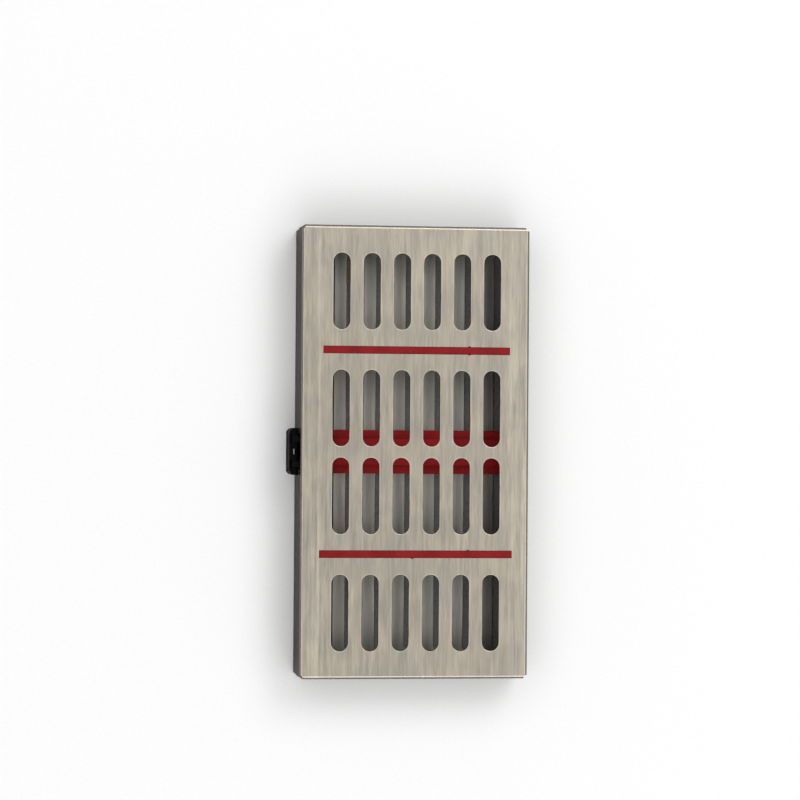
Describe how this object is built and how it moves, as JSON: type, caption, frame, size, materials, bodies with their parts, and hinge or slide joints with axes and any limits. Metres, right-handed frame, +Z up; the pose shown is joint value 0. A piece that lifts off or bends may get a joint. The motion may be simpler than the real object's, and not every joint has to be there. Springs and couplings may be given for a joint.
{
  "type": "dental instrument cassette",
  "caption": "Flat hinged steel box with slotted lid and base, red silicone combs and pad that hold hand instruments for washing and sterilising, and a black snap latch.",
  "frame": {"origin": "centre of the underside of the base tray", "axes": "+X towards the hinge side, +Y along the length, +Z up through the lid"},
  "size_m": [0.0972, 0.18, 0.024],
  "materials": {
    "brushed_sheet": "brushed lengthwise",
    "red_silicone": "matt moulded silicone",
    "plain_plate": "satin",
    "drawn_pin": "smooth drawn wire",
    "rivet_steel": "set heads",
    "black_plate": "black lacquered steel",
    "black_latch": "satin moulded"
  },
  "bodies": {
    "base": {"base_tray": "brushed_sheet", "base_comb_front": "red_silicone", "base_comb_rear": "red_silicone", "centre_pad": "red_silicone", "base_hinge_leaf_front": "plain_plate", "base_hinge_leaf_rear": "plain_plate", "base_hinge_rivets": "rivet_steel", "hinge_pin_front": "drawn_pin", "hinge_pin_rear": "drawn_pin", "keeper_plate": "plain_plate", "keeper_rivets": "rivet_steel"},
    "lid": {"lid_tray": "brushed_sheet", "lid_rail_front": "red_silicone", "lid_rail_rear": "red_silicone", "lid_hinge_leaf_front": "plain_plate", "lid_hinge_leaf_rear": "plain_plate", "lid_hinge_rivets": "rivet_steel", "latch_bracket": "black_plate", "latch_rivets": "rivet_steel", "latch_pin": "drawn_pin"},
    "flap": {"latch_flap": "black_latch"}
  },
  "joints": [
    {"name": "lid_hinge", "type": "hinge", "parent": "base", "child": "lid", "pos_m": [0.04585, 0, 0.01215], "axis": [0, 1, 0], "range_deg": [0, 180]},
    {"name": "latch_swing", "type": "hinge", "parent": "lid", "child": "flap", "pos_m": [-0.04805, 0, 0.0195], "axis": [0, 1, 0], "range_deg": [0, 90]}
  ]
}
